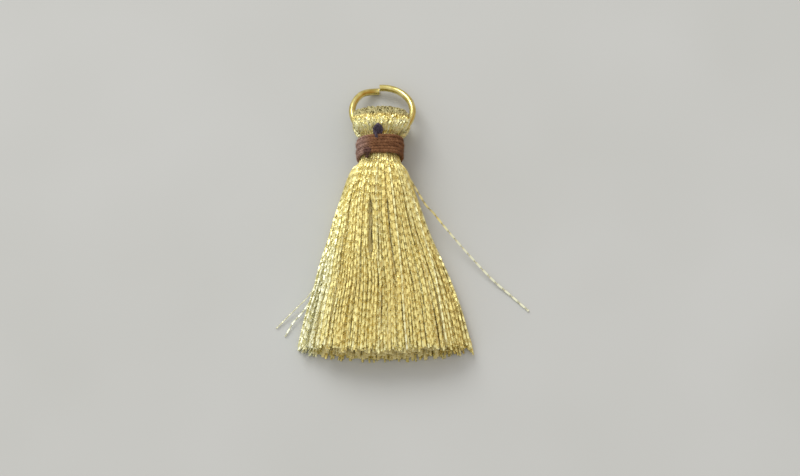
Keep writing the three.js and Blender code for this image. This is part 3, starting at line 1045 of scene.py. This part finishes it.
def film_tree():
    tree, sizes, add = geometry_tree("Twisted film", {
        "Film width": FILM_WIDTH * MM, "Film thickness": FILM_THICKNESS * MM,
        "Half twist": HALF_TWIST * MM, "Steps": STEPS, "Settling": SETTLING})
    phase, lean, swell = (
        add("GeometryNodeInputNamedAttribute", {"Name": name}, data_type="FLOAT")
        for name in ("phase", "lean", "swell"))
    step = add("ShaderNodeMath", {0: sizes["Half twist"], 1: sizes["Steps"]},
               operation="DIVIDE")
    even = even_line(add, sizes["Geometry"], step)
    along = add("GeometryNodeSplineParameter").outputs["Length"]
    halves = add("ShaderNodeMath", {0: along, 1: sizes["Half twist"]}, operation="DIVIDE")
    turned = add("ShaderNodeMath", {0: halves, 1: math.pi, 2: phase}, operation="MULTIPLY_ADD")
    settled = settled_angle(add, turned, sizes["Settling"])
    angle = add("ShaderNodeMath", {0: settled, 1: lean}, operation="ADD")
    tilted = add("GeometryNodeSetCurveTilt", {"Curve": even, "Tilt": angle})
    swollen = add("GeometryNodeSetCurveRadius", {"Curve": tilted, "Radius": swell})
    section = add("GeometryNodeCurvePrimitiveQuadrilateral", {
        "Width": sizes["Film width"], "Height": sizes["Film thickness"]})
    cornered = add("GeometryNodeCurveSplineType", {"Curve": section}, spline_type="BEZIER")
    sharp = add("GeometryNodeCurveSetHandles", {"Curve": cornered}, handle_type="VECTOR")
    body = add("GeometryNodeCurveToMesh", {
        "Curve": swollen, "Profile Curve": sharp, "Fill Caps": True})
    return close_tree(tree, sizes["Material"], body)


FILM_TREE = film_tree()


def grow_film(name, routes, material, width=FILM_WIDTH, thickness=FILM_THICKNESS,
              half_twist=HALF_TWIST, settling=SETTLING):
    return grow(name, routes, FILM_TREE, {
        "Film width": width * MM, "Film thickness": thickness * MM,
        "Half twist": half_twist * MM, "Settling": settling}, material)


# %% The core and the skin of the hank
# one mesh would hold too many triangles, so the skin is made in parts
CORE_WIDTH, CORE_THICKNESS, CORE_TWIST, CORE_SETTLING = 0.38, 0.22, 2.6, 0.0
SKIN_PARTS = 4
skin.sort(key=lambda t: t["points"][0].x)
per_part = math.ceil(len(skin) / SKIN_PARTS)
hank_parts = [grow_film("hank_core", core, CORE_YARN, CORE_WIDTH, CORE_THICKNESS,
                        CORE_TWIST, CORE_SETTLING)]
for n in range(SKIN_PARTS):
    hank_parts.append(grow_film(
        f"hank_skin_{n + 1}", skin[n * per_part:(n + 1) * per_part], FILM))

# %% [markdown]
# ## Strays
#
# Three threads have sprung out of the fringe and lie on the table. They are the
# same film, so the same tree makes them from their own guide lines. Lying free,
# each shows its twist as a row of bright dashes.

# %% Three strays
STRAY_THICKNESS, STRAY_TWIST = 0.06, 1.18
STRAY_WIDTHS = {"strand_right": 0.235, "strand_left_upper": 0.13, "strand_left_lower": 0.15}
STRAYS = {
    "strand_right": {
        "points": [(2.5, 6.4, 2.2), (3.1, 5.4, 2.1), (3.65, 4.45, 2.05), (4.15, 3.55, 2.05),
                   (4.65, 2.65, 2.1), (5.35, 1.5, 2.05), (6.2, 0.6, 1.95), (7.75, -1.3, 1.6),
                   (10.5, -4.4, 0.9), (13.1, -7.15, 0.45), (15.2, -9.0, 0.22),
                   (17.4, -11.0, 0.14)],
        # painted shade: where this stray runs beside the skirt, in its shadow, it is painted dull
        # grey gold; where it lies free it is pale
        "phase": 0.6, "lean": 0.0, "tone": [0.9] * 7 + [0.2] + [0.0] * 4,
        "swell": [0.45] * 6 + [0.6, 0.9] + [1.0] * 4},
    "strand_left_upper": {
        "points": [(-6.0, -4.2, 1.6), (-6.6, -5.6, 1.5), (-7.15, -6.9, 1.35),
                   (-7.7, -8.15, 1.2), (-8.65, -9.55, 0.9), (-9.72, -10.58, 0.6),
                   (-10.67, -11.5, 0.4), (-11.6, -12.45, 0.25), (-12.32, -13.18, 0.15)],
        "phase": 0.2, "lean": 0.9, "tone": 0.1, "swell": 1.0},
    "strand_left_lower": {
        "points": [(-6.8, -6.8, 1.2), (-7.5, -8.3, 1.0), (-8.1, -9.5, 0.85),
                   (-8.89, -10.83, 0.6), (-9.6, -11.7, 0.45), (-10.31, -12.5, 0.35),
                   (-11.26, -14.18, 0.15)],
        "phase": 1.0, "lean": 0.2, "tone": 0.0, "swell": 1.0},
}
strays = {
    node: grow_film(node + "_film", [route], FILM, STRAY_WIDTHS[node], STRAY_THICKNESS,
                    STRAY_TWIST)
    for node, route in STRAYS.items()
}

# %% [markdown]
# ## Binding
#
# Brown sewing thread is wound round the neck, six turns side by side, with two
# short lengths that cross them before they are tucked in. Spun thread is three
# plies laid round each other. A bump could only pretend that, so the tree sweeps
# a section with three lobes and turns it as it goes. Loose fibres stand out all
# over spun thread and soften its outline: short hairs scattered on the surface.

# %% Section of plied thread
BINDING_THREAD = 0.44
THREAD_STEP = 0.11
THREAD_SIDES = 18
PLIES = 3
PLY_LAY = 1.1  # length in which the plies turn once round
PLY_DEPTH = 0.15  # how deep the grooves are, as a share of the thread's radius


def plied_section(add, thread):
    """A circle, thread across, whose radius swells and shrinks once for each ply."""
    circle = round_section(add, thread, THREAD_SIDES)
    place = add("GeometryNodeInputPosition")
    parts = add("ShaderNodeSeparateXYZ", {"Vector": place})
    bearing = add("ShaderNodeMath", {0: parts.outputs["Y"], 1: parts.outputs["X"]},
                  operation="ARCTAN2")
    lobes = add("ShaderNodeMath", {0: bearing, 1: float(PLIES)}, operation="MULTIPLY")
    wave = add("ShaderNodeMath", {0: lobes}, operation="COSINE")
    swell = add("ShaderNodeMath", {0: wave, 1: PLY_DEPTH, 2: 1.0}, operation="MULTIPLY_ADD")
    swollen = add("ShaderNodeVectorMath", {0: place, "Scale": swell}, operation="SCALE")
    return add("GeometryNodeSetPosition", {"Geometry": circle, "Position": swollen})


print(f"{PLIES} plies turn once round in {PLY_LAY} mm")

# %% Loose fibres
HAIR_LENGTH = 0.4
HAIR_SHORTEST = 0.4  # as a share of that
HAIR_WIDTH = 0.028  # a little coarser than a real fibre, which would hardly show
HAIR_LEAN = 1.3  # how far a hair may lean over, as a share of its length
HAIRS_PER_MM2 = 14.0


def loose_fibres(add, body, sizes):
    """Thin cones all over the body, each aimed outwards and a little astray."""
    roots = add("GeometryNodeDistributePointsOnFaces", {
        "Mesh": body, "Density": sizes["Hairs"], "Seed": sizes["Seed"]})
    astray = add("FunctionNodeRandomValue", {0: (-HAIR_LEAN,) * 3, 1: (HAIR_LEAN,) * 3},
                 data_type="FLOAT_VECTOR")
    outward = add("ShaderNodeVectorMath", {0: roots.outputs["Normal"], 1: astray},
                  operation="ADD")
    aim = add("FunctionNodeAlignRotationToVector", {"Vector": outward}, axis="Z")
    hair = add("GeometryNodeMeshCone", {
        "Vertices": 3, "Radius Bottom": HAIR_WIDTH / 2 * MM, "Radius Top": 0.0,
        "Depth": sizes["Hair length"]})
    length = add("FunctionNodeRandomValue", {2: HAIR_SHORTEST, 3: 1.0}, data_type="FLOAT")
    return add("GeometryNodeInstanceOnPoints", {
        "Points": roots, "Instance": hair, "Rotation": aim, "Scale": length.outputs[1]})


print(f"{HAIRS_PER_MM2:.0f} hairs on a square millimetre")


# %% Plied thread tree


def plied_tree():
    tree, sizes, add = geometry_tree("Plied thread", {
        "Thread": BINDING_THREAD * MM, "Lay": PLY_LAY * MM, "Step": THREAD_STEP * MM,
        "Hairs": HAIRS_PER_MM2 / MM ** 2, "Hair length": HAIR_LENGTH * MM, "Seed": SEED})
    even = even_line(add, sizes["Geometry"], sizes["Step"])
    along = add("GeometryNodeSplineParameter").outputs["Length"]
    turns = add("ShaderNodeMath", {0: along, 1: sizes["Lay"]}, operation="DIVIDE")
    laid = add("ShaderNodeMath", {0: turns, 1: 2 * math.pi}, operation="MULTIPLY")
    tilted = add("GeometryNodeSetCurveTilt", {"Curve": even, "Tilt": laid})
    section = plied_section(add, sizes["Thread"])
    body = add("GeometryNodeCurveToMesh", {
        "Curve": tilted, "Profile Curve": section, "Fill Caps": True})
    soft = add("GeometryNodeSetShadeSmooth", {"Geometry": body})
    hairs = loose_fibres(add, body, sizes)
    fuzzy = add("GeometryNodeJoinGeometry", {"Geometry": [soft, hairs]})
    return close_tree(tree, sizes["Material"], fuzzy)


PLIED_TREE = plied_tree()

# %% [markdown]
# The neck is a rounded square in section, because the turns press it, so the
# guide line follows a superellipse. No turn lies quite true: a little noise
# moves each of them up, down, in and out.

# %% Wind the binding
WINDINGS = 6
BINDING_STEPS = 48
BINDING_SQUARE = 2.6  # 2 would be an ellipse
BINDING_SWAY = 0.1
SWAYS_PER_TURN, SWAY_SHIFT, SWAY_IN_OUT = 1.7, 3.1, 1.3
# painted light: the binding thread is painted paler and greyer at its left, on the lamp's side
PAINTED_LIGHT_LEFT = (-0.9, -2.4)  # the thread is paler and greyer at its left
JUST_ABOVE = 0.01  # loose fibres below lie flat on the table

binding_middle = (binding_low + binding_high) / 2
binding_half = (binding_high - binding_low) / 2


def neck_point(turn, y, lift):
    """A point round the neck, lift mm above the middle of the outermost turns."""
    c, s = math.cos(2 * math.pi * turn), math.sin(2 * math.pi * turn)
    reach = [half - BINDING_THREAD / 2 + lift for half in (binding_half.x, binding_half.z)]
    return Vector((
        binding_middle.x + power(c, 2 / BINDING_SQUARE) * reach[0],
        y,
        binding_middle.z + power(s, 2 / BINDING_SQUARE) * reach[1]))


def wound(first, last, y_first, y_last, lift):
    """Points of thread wound from one turn to another."""
    steps = round(abs(last - first) * BINDING_STEPS)
    points = []
    for i in range(steps + 1):
        turn = mix(first, last, i / steps)
        place = Vector((turn * SWAYS_PER_TURN, first * SWAY_SHIFT, 0))
        y = mix(y_first, y_last, i / steps) + BINDING_SWAY * noise.noise(place)
        inward = BINDING_SWAY * abs(noise.noise(place * SWAY_IN_OUT))
        points.append(neck_point(turn, y, lift - inward))
    return points


first_y, last_y = binding_low.y + BINDING_THREAD / 2, binding_high.y - BINDING_THREAD / 2
binding_lines = [
    wound(-0.25, WINDINGS - 0.25, last_y, first_y, 0.0),
    wound(-0.1, 0.62, last_y - 0.35, first_y + 0.5, 0.08),
    wound(0.03, 0.55, first_y + 0.9, last_y - 0.5, 0.1),
]
binding_thread = grow(
    "binding_thread",
    [{"points": line, "tone": [smooth(p.x, *PAINTED_LIGHT_LEFT) for p in line]} for line in binding_lines],
    PLIED_TREE, {"Thread": BINDING_THREAD * MM}, BROWN)
for vertex in binding_thread.data.vertices:
    vertex.co.z = max(vertex.co.z, JUST_ABOVE * MM)

# %% [markdown]
# ## Tie loop
#
# A dark thread was used to hold the hank while it was bound. Its loop still
# stands up in front of the head, doubled, and its end comes out again lower
# down as a small tangle pressed against the turns. Both are the plied thread
# again, and the tangle is faded.

# %% Loop and tangle
LOOP_THREAD = 0.36
LOOP_STEEP = 2.2  # above 1, the loop's sides stand close together
LOOP_POINTS = 8
LOOP_FOOT_Z = 5.25
TANGLE_CENTRE = Vector((-1.62, 7.35, 4.98))
TANGLE_POINTS, TANGLE_TURN = 12, 1.1  # radians from one point to the next
loop_low, loop_high = box_mm("tie_loop")
loop_centre = (loop_low.x + loop_high.x) / 2
loop_foot = Vector((0, loop_low.y - 0.02, LOOP_FOOT_Z))
loop_rise = loop_high.y - loop_foot.y - LOOP_THREAD / 2
loop_lift = loop_high.z - loop_foot.z - LOOP_THREAD / 2


def loop_points(half_width, rise):
    points = []
    for i in range(LOOP_POINTS + 1):
        turn = math.pi * i / LOOP_POINTS
        c, s = math.cos(turn), math.sin(turn)
        points.append(Vector((
            loop_centre - power(c, LOOP_STEEP) * half_width,
            loop_foot.y + loop_rise * rise * s,
            loop_foot.z + loop_lift * rise * s)))
    return points


def tangle_point(turn):
    return TANGLE_CENTRE + Vector((
        0.3 * math.cos(turn), 0.2 * math.sin(turn), 0.06 + 0.08 * math.sin(1.7 * turn)))


loop_lines = [
    [(-0.5, 8.9, 5.0), (-0.6, 9.3, 5.28), *loop_points(0.44, 0.85), (-0.1, 9.5, 4.8)],
    [(-0.5, 9.4, 4.9), *loop_points(0.14, 0.5), (-0.25, 9.5, 4.8)],
]
tangle = [(-1.1, 8.2, 4.75), *(tangle_point(TANGLE_TURN * i) for i in range(TANGLE_POINTS)),
          (-1.75, 6.7, 4.5)]
tie_loop = grow(
    "tie_loop_thread",
    [*({"points": line, "tone": 0.0} for line in loop_lines), {"points": tangle, "tone": 1.0}],
    PLIED_TREE, {"Thread": LOOP_THREAD * MM}, DARK)

# %% [markdown]
# ## Handing on
#
# Each piece rides on the only body and stands for the solid that it replaces.

# %% Ride and replace
pieces = {
    "jump_ring": ([jump_ring], "ring_metal"),
    "thread_hank": (hank_parts, "gold_thread"),
    "binding": ([binding_thread], "brown_thread"),
    "tie_loop": ([tie_loop], "dark_thread"),
    **{node: ([stray], "gold_thread") for node, stray in strays.items()},
}
for node, (objects, slot) in pieces.items():
    for piece in objects:
        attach(piece, "root")
        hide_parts(node)
print(f"{sum(len(objects) for objects, _ in pieces.values())} pieces replace {len(pieces)} nodes")
